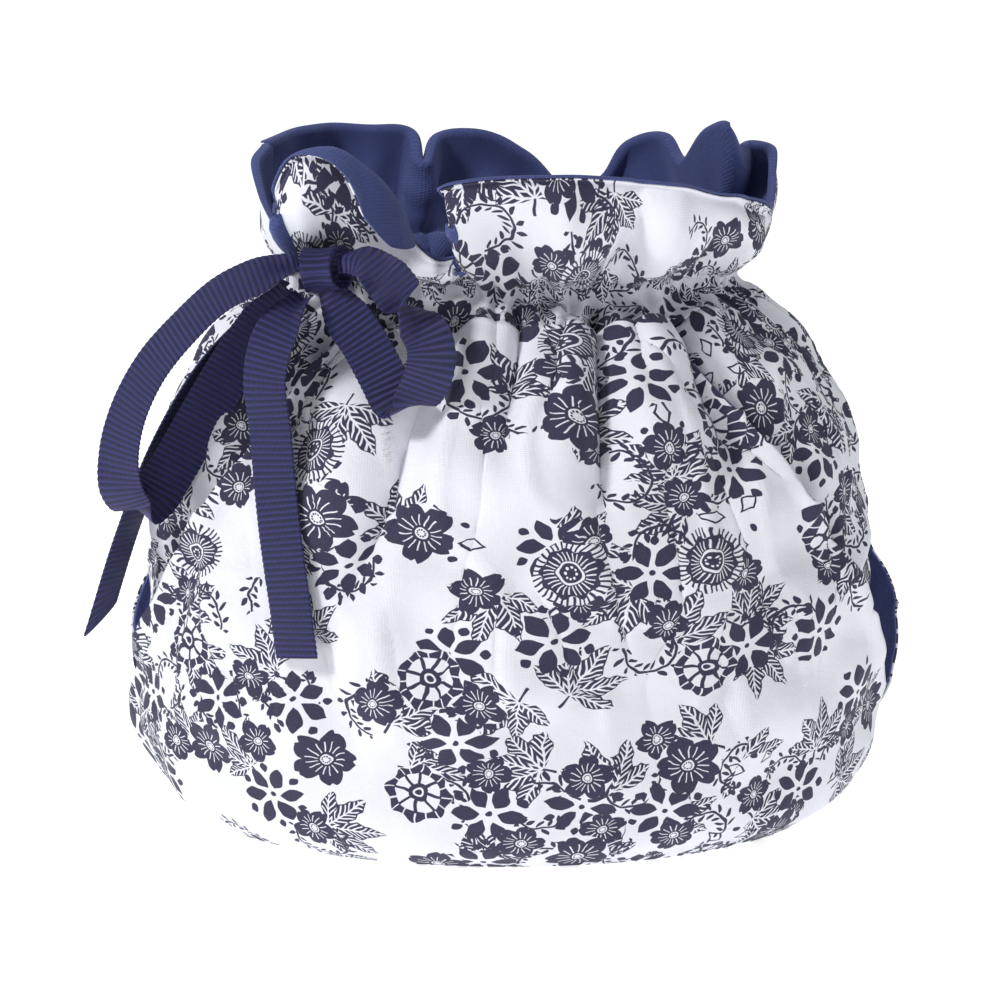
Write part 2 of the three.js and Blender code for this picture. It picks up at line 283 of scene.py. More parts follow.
def closed_shell(name, outer, inner, cloth_u, cloth_v, material):
    """One closed solid from two matching grids of points in millimetres, with cloth coordinates."""
    rows, columns = outer.shape[:2]
    layer = rows * columns
    points = np.concatenate([outer.reshape(-1, 3), inner.reshape(-1, 3)]) * MM
    index = np.arange(layer).reshape(rows, columns)
    a, b = index[:-1, :-1].ravel(), index[:-1, 1:].ravel()
    c, d = index[1:, 1:].ravel(), index[1:, :-1].ravel()
    faces = [np.stack([a, b, c, d], 1), np.stack([a, d, c, b], 1) + layer]
    rims = [index[0], index[:, -1], index[-1, ::-1], index[::-1, 0]]
    for rim in rims:
        p, q = rim[:-1], rim[1:]
        faces.append(np.stack([p, p + layer, q + layer, q], 1))
    faces = np.concatenate(faces)
    mesh = bpy.data.meshes.new(name)
    mesh.vertices.add(len(points))
    mesh.vertices.foreach_set("co", points.astype(np.float32).ravel())
    mesh.loops.add(faces.size)
    mesh.loops.foreach_set("vertex_index", faces.astype(np.int32).ravel())
    mesh.polygons.add(len(faces))
    mesh.polygons.foreach_set("loop_start", np.arange(0, faces.size, 4, dtype=np.int32))
    mesh.polygons.foreach_set("use_smooth", np.ones(len(faces), bool))
    mesh.update(calc_edges=True)
    cloth = np.stack([cloth_u, cloth_v], -1).reshape(-1, 2) / CLOTH_PER_UV
    cloth = np.concatenate([cloth, cloth])
    uv = mesh.uv_layers.new(name=CLOTH_UV)
    uv.data.foreach_set("uv", cloth[faces.ravel()].astype(np.float32).ravel())
    mesh.materials.append(material)
    mesh.validate()
    return link(bpy.data.objects.new(name, mesh))


def cloth_panel(
    name, edges, rises, spacing, inner_offset, thickness, material, extra=None, cut_from=0.0
):
    """A cloth panel on the folded body surface. edges(level) gives its two side angles.

    cut_from says where along the printed cloth the panel was cut, so that prints differ at seams.
    """
    rows = max(3, int((rises[1] - rises[0]) / spacing) + 1)
    level = level_of(np.linspace(rises[0], rises[1], rows))
    left, right = edges(level)
    width = np.max(right - left) * GIRTH / 360
    columns = max(3, int(width / spacing) + 1)
    across = np.linspace(0, 1, columns)
    angle = left[:, None] + (right - left)[:, None] * across
    level = np.repeat(level[:, None], columns, axis=1)
    smooth = body_point(angle, level)
    normal = grid_normals(smooth)
    height = fold_height(angle, level)
    if extra is not None:
        height = height + extra(angle, level)
    middle = smooth + normal * height[..., None]
    facing = grid_normals(middle)
    inner = middle + facing * inner_offset
    outer = middle + facing * (inner_offset + thickness)
    u = angle * GIRTH / 360
    v = rise_of(level)
    return closed_shell(name, outer, inner, u + cut_from, v + cut_from * 0.4, material)


# ---------------------------------------------------------------- node arithmetic
class Term:
    """A value in a node tree. Arithmetic on it adds Math nodes."""

    def __init__(self, graph, socket):
        self.graph = graph
        self.socket = socket

    def op(self, operation, *others, clamp=False):
        return self.graph.math(operation, self, *others, clamp=clamp)

    def __add__(self, other):
        return self.op("ADD", other)

    def __radd__(self, other):
        return self.op("ADD", other)

    def __sub__(self, other):
        return self.op("SUBTRACT", other)

    def __rsub__(self, other):
        return self.graph.math("SUBTRACT", other, self)

    def __mul__(self, other):
        return self.op("MULTIPLY", other)

    def __rmul__(self, other):
        return self.op("MULTIPLY", other)

    def __truediv__(self, other):
        return self.op("DIVIDE", other)

    def __neg__(self):
        return self.op("MULTIPLY", -1.0)

    def size(self):
        return self.op("ABSOLUTE")

    def wrapped(self, period):
        """The value folded into the stretch from minus half a period to half a period."""
        return self.graph.math("FLOORED_MODULO", self + period / 2, period) - period / 2


class Graph:
    """A material's node tree with short ways to add nodes."""

    def __init__(self, name):
        self.material = bpy.data.materials.new(name)
        self.material.use_nodes = True
        self.tree = self.material.node_tree
        self.tree.nodes.clear()

    def node(self, kind, **settings):
        made = self.tree.nodes.new(kind)
        for key, value in settings.items():
            setattr(made, key, value)
        return made

    def feed(self, socket, value):
        if isinstance(value, Term):
            self.tree.links.new(value.socket, socket)
        elif isinstance(value, bpy.types.NodeSocket):
            self.tree.links.new(value, socket)
        else:
            socket.default_value = value

    def math(self, operation, *values, clamp=False):
        made = self.node("ShaderNodeMath", operation=operation, use_clamp=clamp)
        for socket, value in zip(made.inputs, values):
            self.feed(socket, value)
        return Term(self, made.outputs[0])

    def mix(self, share, low, high):
        made = self.node("ShaderNodeMix", data_type="RGBA")
        self.feed(made.inputs["Factor"], share)
        self.feed(made.inputs["A"], low)
        self.feed(made.inputs["B"], high)
        return made.outputs["Result"]

    def cloth_position(self):
        """Cloth coordinates in millimetres, as a vector socket."""
        uv = self.node("ShaderNodeUVMap", uv_map=CLOTH_UV)
        scale = self.node("ShaderNodeVectorMath", operation="SCALE")
        self.feed(scale.inputs[0], uv.outputs[0])
        scale.inputs["Scale"].default_value = CLOTH_PER_UV
        return scale.outputs[0]

    def split(self, vector):
        parts = self.node("ShaderNodeSeparateXYZ")
        self.feed(parts.inputs[0], vector)
        return [Term(self, out) for out in parts.outputs]

    def noise(self, vector, scale, detail=2.0, dimensions="2D"):
        made = self.node("ShaderNodeTexNoise", noise_dimensions=dimensions)
        self.feed(made.inputs["Vector"], vector)
        made.inputs["Scale"].default_value = scale
        made.inputs["Detail"].default_value = detail
        return Term(self, made.outputs["Fac"])

    def bumped(self, height, distance, normal=None, strength=1.0):
        made = self.node("ShaderNodeBump")
        self.feed(made.inputs["Height"], height)
        made.inputs["Distance"].default_value = distance
        made.inputs["Strength"].default_value = strength
        if normal is not None:
            self.feed(made.inputs["Normal"], normal)
        return made.outputs[0]

    def surface(self, colour, roughness, normal, sheen=0.0, sheen_tint=(1, 1, 1, 1), specular=0.3):
        shader = self.node("ShaderNodeBsdfPrincipled")
        self.feed(shader.inputs["Base Color"], colour)
        self.feed(shader.inputs["Roughness"], roughness)
        self.feed(shader.inputs["Normal"], normal)
        shader.inputs["Sheen Weight"].default_value = sheen
        shader.inputs["Sheen Tint"].default_value = sheen_tint
        shader.inputs["Specular IOR Level"].default_value = specular
        output = self.node("ShaderNodeOutputMaterial")
        self.tree.links.new(shader.outputs[0], output.inputs[0])
        return self.material


# ---------------------------------------------------------------- the printed flowers
# Every motif is drawn about its own centre in units of its radius and returns ink from 0 to 1.
def edge(inside, softness):
    """1 where inside is positive, 0 where it is negative, with a soft edge."""
    return inside.graph.math("MULTIPLY_ADD", inside, 1 / softness, 0.5, clamp=True)


def both(*parts):
    result = parts[0]
    for part in parts[1:]:
        result = result * part
    return result


def either(first, *rest):
    for part in rest:
        first = first.op("MAXIMUM", part)
    return first


def without(ink, cut):
    return ink * (1.0 - cut)


class Spot:
    """A motif's place: coordinates about its centre, in radii, with the polar ones worked out."""

    def __init__(self, x, y, softness):
        self.x, self.y, self.softness = x, y, softness
        self.graph = x.graph
        self.r = (x * x + y * y).op("SQRT")
        self.angle = self.graph.math("ARCTAN2", y, x)

    def folded(self, count, offset=0.0):
        """Coordinates along and across the nearest of count equal spokes."""
        angle = (self.angle + offset).wrapped(2 * math.pi / count)
        return self.r * angle.op("COSINE"), self.r * angle.op("SINE")

    def edge(self, inside):
        return edge(inside, self.softness)

    def oval(self, along, across, centre, half_length, half_width):
        """1 inside a pointed oval that lies along a spoke."""
        t = (along - centre) / half_length
        return self.edge((1.0 - t * t) * half_width - across.size())

    def dot(self, along, across, centre, radius):
        """1 inside a round dot on a spoke."""
        gap = ((along - centre) * (along - centre) + across * across).op("SQRT")
        return self.edge(radius - gap)

    def band(self, low, high):
        return both(self.edge(self.r - low), self.edge(high - self.r))

    def rays(self, count, width):
        """1 on thin lines that run outwards, width in radii."""
        return self.edge(width - (self.folded(count)[1]).size())


def five_petals(spot):
    along, across = spot.folded(5)
    t = (along - 0.58) / 0.42
    s = across / 0.4
    notch = spot.edge(along - 0.9 - across.size() * 0.9)
    petal = without(spot.edge((1.0 - (t * t + s * s)) * 0.3), notch)
    veins = both(spot.rays(15, 0.018), spot.band(0.28, 0.62))
    heart = spot.edge(0.2 - spot.r)
    ink = without(either(petal, spot.edge(0.3 - spot.r)), either(veins, heart))
    dots_along, dots_across = spot.folded(10)
    return either(ink, spot.dot(dots_along, dots_across, 0.13, 0.03))


def fringed_flower(spot):
    scallop = (spot.angle * 9.0).op("COSINE") * 0.05 + 0.74
    disc = spot.edge(scallop - spot.r)
    hairs = both(spot.rays(36, 0.03), spot.band(0.7, 1.0))
    veins = both(spot.rays(27, 0.016), spot.band(0.36, 0.64))
    ring = spot.band(0.27, 0.33)
    along, across = spot.folded(8)
    seeds = spot.dot(along, across, 0.15, 0.035)
    return without(either(disc, hairs), either(veins, ring, seeds))


def cog_flower(spot):
    scallop = (spot.angle * 8.0).op("COSINE") * 0.06 + 0.9
    rim = both(spot.edge(scallop - spot.r), spot.edge(spot.r - 0.66))
    gaps = spot.rays(16, 0.02)
    spokes = both(spot.rays(8, 0.05), spot.edge(0.7 - spot.r))
    hub = spot.edge(0.3 - spot.r)
    hole = spot.band(0.1, 0.16)
    return either(without(rim, gaps), without(either(spokes, hub), hole))


def leaf(spot):
    """A leaf of five toothed lobes with pale veins, its stalk at the left."""
    placed = Spot(spot.x + 0.45, spot.y, spot.softness)
    turn = math.radians(40)
    local = placed.angle.wrapped(turn)
    share = placed.angle.size() / math.radians(100)
    length = 1.38 - share * share * 0.62
    along = placed.r * local.op("COSINE")
    across = (placed.r * local.op("SINE")).size()
    t = along / length
    teeth = ((t * 4.5).wrapped(1.0)).size() * 0.4 + 0.8
    width = (t * math.pi).op("SINE") * teeth * 0.25
    within = both(placed.edge(t), placed.edge(1.0 - t), placed.edge(1.0 - share))
    lobe = both(placed.edge(width - across), within)
    vein = placed.edge(0.02 - across)
    side = (along - across * 1.3).wrapped(0.15)
    side_veins = both(placed.edge(0.026 - side.size()), placed.edge(width - 0.028 - across))
    stalk_ends = both(placed.edge(-placed.x), placed.edge(placed.x + 0.3))
    stalk = both(placed.edge(0.028 - placed.y.size()), stalk_ends)
    return either(without(lobe, either(vein, side_veins)), stalk)


def star(spot):
    along, across = spot.folded(6)
    blades = spot.oval(along, across, 0.56, 0.35, 0.2)
    between_along, between_across = spot.folded(6, math.pi / 6)
    buds = spot.oval(between_along, between_across, 0.86, 0.14, 0.12)
    return either(blades, buds, spot.edge(0.08 - spot.r))


def garland(spot):
    """Part of a ring of stalk with small leaves on both sides."""
    arc = spot.edge(2.3 - spot.angle.size())
    stalk = spot.edge(0.034 - (spot.r - 0.72).size())
    inside_along, inside_across = spot.folded(15)
    outside_along, outside_across = spot.folded(15, math.pi / 15)
    slant_in = inside_across + (inside_along - 0.6) * 0.6
    slant_out = outside_across - (outside_along - 0.85) * 0.6
    leaves = either(
        spot.oval(inside_along, slant_in, 0.57, 0.11, 0.065),
        spot.oval(outside_along, slant_out, 0.88, 0.12, 0.07),
    )
    return both(arc, either(stalk, leaves))


def buds(spot):
    """A few outlined four-sided buds with dots."""
    along, across = spot.folded(3)
    diamond = (along - 0.62).size() / 0.3 + across.size() / 0.17
    outline = spot.edge(0.16 - (diamond - 1.0).size())
    between_along, between_across = spot.folded(3, math.pi / 3)
    return either(outline, spot.dot(between_along, between_across, 0.55, 0.1))


CLUSTER_SIZE = 38.0  # millimetres of a group of motifs and the open cloth beside it
EDGE_SOFTNESS = 0.14  # millimetres over which ink fades into cloth


def scatter(graph, position, pitch, radius, jitter, shift, motifs, kept, halo):
    """One layer of motifs, one to a cell. Returns its ink and the pale halo it clears under itself.

    kept is the share of cells that hold a motif; motifs is a list of (share, drawing function).
    """
    moved = graph.node("ShaderNodeVectorMath", operation="ADD")
    graph.feed(moved.inputs[0], position)
    moved.inputs[1].default_value = (shift[0], shift[1], 0)
    cells = graph.node("ShaderNodeTexVoronoi", voronoi_dimensions="2D", feature="F1")
    graph.feed(cells.inputs["Vector"], moved.outputs[0])
    cells.inputs["Scale"].default_value = 1 / pitch
    cells.inputs["Randomness"].default_value = jitter
    apart = graph.node("ShaderNodeVectorMath", operation="SUBTRACT")
    graph.feed(apart.inputs[0], moved.outputs[0])
    graph.feed(apart.inputs[1], cells.outputs["Position"])
    x, y, _ = graph.split(apart.outputs[0])
    chance, kind, turn = graph.split(cells.outputs["Color"])
    turn = turn * (2 * math.pi)
    cosine, sine = turn.op("COSINE") / radius, turn.op("SINE") / radius
    spot = Spot(x * cosine - y * sine, x * sine + y * cosine, EDGE_SOFTNESS / radius)
    ink = None
    start = 0.0
    for share, drawing in motifs:
        drawn = drawing(spot)
        if len(motifs) > 1:
            chosen = both(kind.op("GREATER_THAN", start), kind.op("LESS_THAN", start + share + 1e-4))
            drawn = drawn * chosen
        ink = drawn if ink is None else either(ink, drawn)
        start += share
    home = graph.node("ShaderNodeVectorMath", operation="SUBTRACT")
    graph.feed(home.inputs[0], cells.outputs["Position"])
    home.inputs[1].default_value = (shift[0], shift[1], 0)
    cluster = graph.noise(home.outputs[0], 1 / CLUSTER_SIZE, detail=0.0)
    present = (cluster * 2.0 - 0.5 - chance * 0.35).op("GREATER_THAN", 0.5 - kept)
    cleared = spot.edge(halo - spot.r) * present if halo else None
    return ink * present, cleared


def wobbled(graph, position, size, amount):
    """The position pushed about a little, as a hand-drawn line wanders."""
    noise = graph.node("ShaderNodeTexNoise", noise_dimensions="2D")
    graph.feed(noise.inputs["Vector"], position)
    noise.inputs["Scale"].default_value = 1 / size
    noise.inputs["Detail"].default_value = 1.0
    push = graph.node("ShaderNodeVectorMath", operation="MULTIPLY_ADD")
    graph.feed(push.inputs[0], noise.outputs["Color"])
    push.inputs[1].default_value = (amount, amount, 0)
    graph.feed(push.inputs[2], position)
    return push.outputs[0]


def printed_cotton():
    graph = Graph("printed_cotton")
    cloth_place = graph.cloth_position()
    position = wobbled(graph, cloth_place, 5.5, 1.9)
    layers = [
        scatter(graph, position, 25, 11.0, 0.55, (3, 71), [(1.0, garland)], 0.3, 0),
        scatter(graph, position, 25, 13.5, 0.5, (41, 13), [(1.0, leaf)], 0.42, 0),
        scatter(graph, position, 27, 11.5, 0.5, (87, 55), [(0.8, star), (0.2, buds)], 0.33, 0.6),
        scatter(graph, position, 25, 7.0, 0.55, (19, 37), [(1.0, five_petals)], 0.3, 0.92),
        scatter(
            graph, position, 37, 9.8, 0.5, (61, 5),
            [(0.25, fringed_flower), (0.3, cog_flower), (0.45, five_petals)], 0.42, 0.95,
        ),
    ]
    ink = None
    for drawn, cleared in layers:
        if ink is None:
            ink = drawn
            continue
        if cleared is not None:
            ink = without(ink, cleared)
        ink = either(ink, drawn)
    fibre = graph.noise(cloth_place, 1.6, detail=3.0)
    x, y, _ = graph.split(cloth_place)
    weave = (x * (2 * math.pi / 0.62)).op("SINE") + (y * (2 * math.pi / 0.62)).op("SINE")
    soft = graph.noise(cloth_place, 0.06, detail=2.0)
    tone = (soft * 0.7 + weave * 0.1 + fibre * 0.3).op("MULTIPLY", 1.0, clamp=True)
    cloth = graph.mix(tone, (0.75, 0.765, 0.845, 1), (0.805, 0.815, 0.875, 1))
    dark = graph.mix(fibre, (0.018, 0.016, 0.045, 1), (0.040, 0.036, 0.082, 1))
    colour = graph.mix(ink * 0.985, cloth, dark)
    rumple = graph.noise(cloth_place, 0.16, detail=3.0)
    crumpled = graph.bumped(rumple, 0.0012, strength=0.35)
    normal = graph.bumped(weave * 0.4 + fibre, 0.00012, normal=crumpled, strength=0.5)
    return graph.surface(colour, 0.82, normal, sheen=0.12, specular=0.22)


def navy_lining():
    graph = Graph("navy_lining")
    position = graph.cloth_position()
    x, y, _ = graph.split(position)
    twill = ((x + y) * (2 * math.pi / 1.15)).op("SINE")
    threads = (x * (2 * math.pi / 0.5)).op("SINE") * 0.4 + (y * (2 * math.pi / 0.5)).op("SINE") * 0.2
    fibre = graph.noise(position, 0.9, detail=4.0)
    cloud = graph.noise(position, 0.045, detail=2.0)
    base = graph.mix(cloud, (0.036, 0.050, 0.158, 1), (0.052, 0.068, 0.200, 1))
    lit = (twill * 0.12 + fibre * 0.6 + 0.05).op("MULTIPLY", 1.0, clamp=True)
    colour = graph.mix(lit, base, (0.082, 0.102, 0.270, 1))
    normal = graph.bumped(twill * 0.5 + threads + fibre * 0.8, 0.00016, strength=0.7)
    return graph.surface(colour, 0.86, normal, sheen=0.25, sheen_tint=(0.6, 0.7, 1, 1), specular=0.2)


def navy_ribbon():
    """Grosgrain: the ribs are in the mesh, the fine threads that cross them are in the shader. The
    shader also paints shade into the grooves between ribs and a painted highlight on each rib's crest.
    """
    graph = Graph("navy_ribbon")
    position = graph.cloth_position()
    x, y, _ = graph.split(position)
    threads = (x * (2 * math.pi / 0.46)).op("SINE")
    fibre = graph.noise(position, 0.8, detail=3.0)
    # rib runs dark in the grooves and light on the crests: painted shade and painted highlight over the
    # ribbon's navy; threads and fibre are its own tone
    rib = (y * (2 * math.pi / 1.9)).op("SINE") * 0.5 + 0.5
    lit = (rib * rib * 0.8 + threads * 0.1 + fibre * 0.2).op("MULTIPLY", 1.0, clamp=True)
    colour = graph.mix(lit, (0.004, 0.004, 0.030, 1), (0.034, 0.036, 0.165, 1))
    normal = graph.bumped(threads * 0.4 + rib * 1.2 + fibre * 0.5, 0.00018, strength=0.8)
    return graph.surface(colour, 0.5, normal, sheen=0.06, sheen_tint=(0.6, 0.65, 1, 1), specular=0.36)


def cotton_thread():
    graph = Graph("cotton_thread")
    position = graph.cloth_position()
    fibre = graph.noise(position, 2.2, detail=3.0)
    colour = graph.mix(fibre, (0.62, 0.63, 0.72, 1), (0.80, 0.81, 0.88, 1))
    return graph.surface(colour, 0.7, graph.bumped(fibre, 0.0001), sheen=0.2)


PRINTED = printed_cotton()
LINING = navy_lining()
RIBBON = navy_ribbon()
THREAD = cotton_thread()


# ---------------------------------------------------------------- ribbon bow
RIB_PITCH = 1.9
RIBBON_THICKNESS = 0.7
SELVEDGE = 1.9
RIBBON_STEP = 0.32
PINCH_LENGTH = 15.0  # the stretch over which a ribbon is drawn together at the knot
SLANT_LENGTH = 14.0

# Stations along each stretch: a point and the direction across the ribbon, as in the CAD. The right
# loop has one more, under the knot.
RIBBON_ROUTES = {
    "ribbon_lead": [
        ((-54.4, -24.4, 178), (0.85, -0.52, 0)),
        ((-56.4, -28.4, 179.5), (0.85, -0.52, 0)),
        ((-57.4, -33, 181.5), (0.9, -0.4, -0.1)),
        ((-57.6, -37.5, 184), (0.95, -0.25, -0.15)),
    ],
    "bow_left_loop": [
        ((-65.5, -50, 193.5), (0.2, -0.75, -0.62)),
        ((-77, -52, 190.5), (0.2, -0.8, -0.56)),
        ((-89.5, -53, 184.5), (0.3, -0.8, -0.52)),
        ((-102, -53, 173), (0.42, -0.78, -0.46)),
        ((-112.5, -52, 160), (0.55, -0.72, -0.42)),
        ((-120, -51, 144.5), (0.7, -0.62, -0.3)),
        ((-123, -50, 130), (0.85, -0.48, -0.2)),
        ((-122, -48, 118.5), (0.97, -0.2, -0.1)),
        ((-117.5, -44, 112.5), (0.97, 0, -0.2)),
        ((-112.5, -40.5, 115.5), (0.92, 0, -0.35)),
        ((-106.5, -39, 125), (0.85, 0, -0.5)),
        ((-97, -38.5, 141.5), (0.82, 0, -0.57)),
        ((-86.5, -39, 159), (0.82, 0, -0.57)),
        ((-76, -41, 174), (0.8, 0, -0.6)),
        ((-68.5, -43.5, 184), (0.78, 0, -0.62)),
    ],
    "bow_right_loop": [
        ((-52, -52, 194.5), (0.2, -0.85, -0.45)),
        ((-44.5, -57, 195.5), (0.25, -0.8, -0.5)),
        ((-37.5, -61, 190.5), (0.4, -0.45, -0.8)),
        ((-30.5, -65, 182), (0.6, -0.25, -0.76)),
        ((-24.5, -69, 173), (0.85, -0.2, -0.5)),
        ((-24, -71, 165.5), (0.98, -0.1, -0.2)),
        ((-26.5, -70, 158), (0.97, 0, 0.2)),
        ((-30.5, -67, 152), (0.95, 0.1, 0.3)),
        ((-35, -62, 152), (0.9, 0.2, 0.4)),
        ((-39, -59, 159), (0.85, 0.1, 0.5)),
        ((-44.5, -55, 168.5), (0.8, 0, 0.6)),
        ((-52.5, -51.5, 180), (0.75, 0, 0.65)),
        ((-57, -50, 188), (0.75, 0, 0.65)),
    ],
    "ribbon_front_tail": [
        ((-63.5, -52, 183.5), (0.7, -0.7, -0.1)),
        ((-69.5, -57, 178), (0.75, -0.6, -0.28)),
        ((-74, -60, 169.5), (0.86, -0.48, -0.2)),
        ((-76, -61, 158), (0.88, -0.47, 0)),
        ((-74.5, -62, 144), (0.88, -0.47, 0)),
        ((-73, -64, 125.5), (0.88, -0.47, 0)),
        ((-71, -68, 107), (0.88, -0.47, 0)),
        ((-68.5, -70.5, 88.5), (0.88, -0.47, 0)),
        ((-66.5, -71.5, 71.5), (0.88, -0.47, 0)),
    ],
    "ribbon_rear_tail": [
        ((-70.5, -30, 182.5), (0.1, 0.95, 0.1)),
        ((-80.5, -28, 174), (0.2, 0.95, 0)),
        ((-95.5, -28, 156.5), (0.3, 0.9, -0.15)),
        ((-110.5, -27, 130), (0.38, 0.9, -0.19)),
        ((-122.5, -26, 100), (0.4, 0.9, -0.15)),
        ((-132, -26, 70.5), (0.4, 0.9, -0.15)),
    ],
}


def ribbon_frames(stations):
    """Evenly spaced centre points, across and face directions along a route, and the distance run."""
    route = centripetal([point for point, _ in stations], np.linspace(0, len(stations) - 1, 600))
    sides = centripetal([side for _, side in stations], np.linspace(0, len(stations) - 1, 600))
    run = np.concatenate([[0], np.cumsum(np.linalg.norm(np.diff(route, axis=0), axis=1))])
    length = run[-1]
    at = np.linspace(0, length, int(length / RIBBON_STEP))
    centre = np.stack([np.interp(at, run, route[:, k]) for k in range(3)], 1)
    side = np.stack([np.interp(at, run, sides[:, k]) for k in range(3)], 1)
    tangent = np.gradient(centre, axis=0)
    tangent /= np.linalg.norm(tangent, axis=1, keepdims=True)
    side -= tangent * np.sum(side * tangent, axis=1, keepdims=True)
    side /= np.linalg.norm(side, axis=1, keepdims=True)
    return centre, side, np.cross(side, tangent), at


def ribbon_piece(name, stations, width=RIBBON_WIDTH, slant=0.0, cup=0.35, pinches=(True, False)):
    """Grosgrain ribbon with real ribs and looped edges. slant cuts its far end at an angle.

    pinches says whether its start and its end are drawn together where the knot holds them.
    """
    centre, side, face, run = ribbon_frames(stations)
    half = width / 2
    lanes = np.array([-half, -half + 0.5, -half + 1.0, -half + SELVEDGE, -4, -2, 0])
    lanes = np.concatenate([lanes, -lanes[-2::-1]])
    wave = np.cos(2 * math.pi * run / RIB_PITCH)
    picot = 0.12 * np.cos(2 * math.pi * run / RIB_PITCH)
    across = np.repeat(lanes[None, :], len(run), axis=0)
    outermost = np.abs(across) >= half - 1e-6
    across = across + np.where(outermost, np.sign(across) * picot[:, None], 0)
    ribbed = np.abs(lanes) < half - SELVEDGE + 1e-6
    fine = 0.06 * np.cos(4 * math.pi * run / RIB_PITCH)
    relief = np.where(ribbed[None, :], 0.16 * wave[:, None], fine[:, None])
    curl = cup * (across / half) ** 2
    drawn = np.ones(len(run))
    if pinches[0]:
        drawn = drawn * (0.5 + 0.5 * smoothstep(run, 0, PINCH_LENGTH))
    if pinches[1]:
        drawn = drawn * (0.5 + 0.5 * smoothstep(run[-1] - run, 0, PINCH_LENGTH))
    curl = curl + (1 - drawn)[:, None] * 3.2 * np.cos(across / half * 2.6)
    across = across * drawn[:, None]
    tangent = np.cross(face, side)
    cut = slant * (across / half) * smoothstep(run, run[-1] - SLANT_LENGTH, run[-1])[:, None]
    middle = centre[:, None] + side[:, None] * across[..., None] + face[:, None] * curl[..., None]
    middle = middle - tangent[:, None] * cut[..., None]
    lift = face[:, None] * (RIBBON_THICKNESS / 2 + relief)[..., None]
    drop = face[:, None] * (RIBBON_THICKNESS / 2 - relief * 0.5)[..., None]
    v = np.repeat(run[:, None], len(lanes), axis=1)
    return closed_shell(name, middle - drop, middle + lift, across, v, RIBBON), centre


def wrap_knot(name):
    """The ribbon's wrap round the crossing: a short band rolled about the loops."""
    centre = np.array([-57.5, -49.5, 191.5])
    turns = np.linspace(-0.25, 1.0, 120) * 2 * math.pi
    axis = np.array([0.93, -0.30, 0.12])
    axis /= np.linalg.norm(axis)
    first = np.cross(axis, [0, 0, 1.0])
    first /= np.linalg.norm(first)
    second = np.cross(axis, first)
    lanes = np.linspace(-1, 1, 13)
    half = 6.0
    grow = 6.0 + 0.5 * turns[:, None] / (2 * math.pi) + 0.9 * (lanes[None, :] ** 2)
    ribs = 0.14 * np.cos(turns * 6.2 / RIB_PITCH)[:, None]
    pinch = 1 - 0.18 * np.cos(turns)[:, None]
    ring = first * np.cos(turns)[:, None] + second * np.sin(turns)[:, None] * 0.92
    place = centre + axis * (lanes[None, :, None] * half * pinch[..., None])
    inner = place + ring[:, None] * (grow + ribs)[..., None]
    outer = place + ring[:, None] * (grow + RIBBON_THICKNESS + ribs)[..., None]
    run = np.repeat((turns * 6.2)[:, None], len(lanes), axis=1)
    across = np.repeat(lanes[None, :] * RIBBON_WIDTH / 2, len(turns), axis=0)
    return closed_shell(name, outer, inner, across, run, RIBBON)


knot = wrap_knot("ribbon_knot")
attach(knot, "bag", "navy_ribbon", "bow_knot")

lead, _ = ribbon_piece(
    "ribbon_from_casing", RIBBON_ROUTES["ribbon_lead"], width=14, pinches=(False, False)
)
attach(lead, "bag", "navy_ribbon", "ribbon_lead")

RIBBON_RIDES = {
    "bow_left_loop": ("left_loop", "object", 0.0),
    "bow_right_loop": ("right_loop", "object", 0.0),
    "ribbon_front_tail": ("front_tail", "bare", 0.0),
    "ribbon_rear_tail": ("rear_tail", "bare", 5.0),
}
for node_name, (body, far_end, slant) in RIBBON_RIDES.items():
    pinches = (True, far_end == "object")
    piece, centre = ribbon_piece(
        f"{node_name}_woven", RIBBON_ROUTES[node_name], slant=slant, pinches=pinches
    )
    attach(piece, body, "navy_ribbon", node_name)
    tuple(centre[0] * MM)
    [tuple(p) for p in centre[::8] * MM] + [tuple(centre[-1] * MM)]


# ---------------------------------------------------------------- walls, pockets, casing
FRONT = (-90.0, 90.0)
BACK = (90.0, 270.0)
WALL_SPACING = 1.7
COTTON = 0.7  # millimetres of cloth as drawn
SEAM_HALF = 0.12  # degrees that each panel stays short of a side seam
OUTER_OFFSET, INNER_OFFSET = -0.8, -2.0  # from the folded surface to each cloth's inner face
INNER_START = 1.5  # millimetres above the floor seam where the inner walls begin


def straight(left, right):
    return lambda level: (np.full_like(level, left), np.full_like(level, right))


MOUTH_TOP_ANGLE, MOUTH_SIDE_ANGLE = 38.0, 88.0
MOUTH_TOP_HEIGHT, MOUTH_FOOT_HEIGHT = 168.0, 38.0


def mouth_angle(level):
    """Angle from a pocket's centre line to its free slanted edge."""
    height = centripetal(SECTIONS, level)[..., 2]
    share = np.clip((MOUTH_TOP_HEIGHT - height) / (MOUTH_TOP_HEIGHT - MOUTH_FOOT_HEIGHT), 0, 1) ** 1.3
    return MOUTH_TOP_ANGLE + (MOUTH_SIDE_ANGLE - MOUTH_TOP_ANGLE) * share


def pocket_edges(centre):
    return lambda level: (centre - mouth_angle(level), centre + mouth_angle(level))


def pocket_gape(centre, amount):
    """How far a pocket stands off the wall near its open edges."""

    def lift(angle, level):
        inside = mouth_angle(level) - np.abs(angle - centre)
        near = np.exp(-((inside / 24) ** 2))
        low = smoothstep(level, 0.5, 2) * (1 - smoothstep(level, 3, 5))
        if centre > 90:
            height = body_point(angle, level)[..., 2]
            near = near * (1 - 0.55 * smoothstep(angle, 180, 220))
            near = near * (0.15 + 0.85 * np.exp(-(((height - 60) / 22) ** 2)))
        roll = 3.0 * np.exp(-((inside / 3.2) ** 2)) * smoothstep(level, 0.5, 1.5)
        return amount * near * low + roll

    return lift


def beside_pocket(angle, level):
    """The wall lies a little lower just outside the front pocket's open edges."""
    outside = np.abs(angle) - mouth_angle(level)
    return -2.6 * bump(outside, 1.5, 5.5) * (np.abs(angle) < 95) * smoothstep(level, 0.6, 1.6)


def declare(piece, body, slot, nodes, area=None):
    attach(piece, body, slot, *nodes)


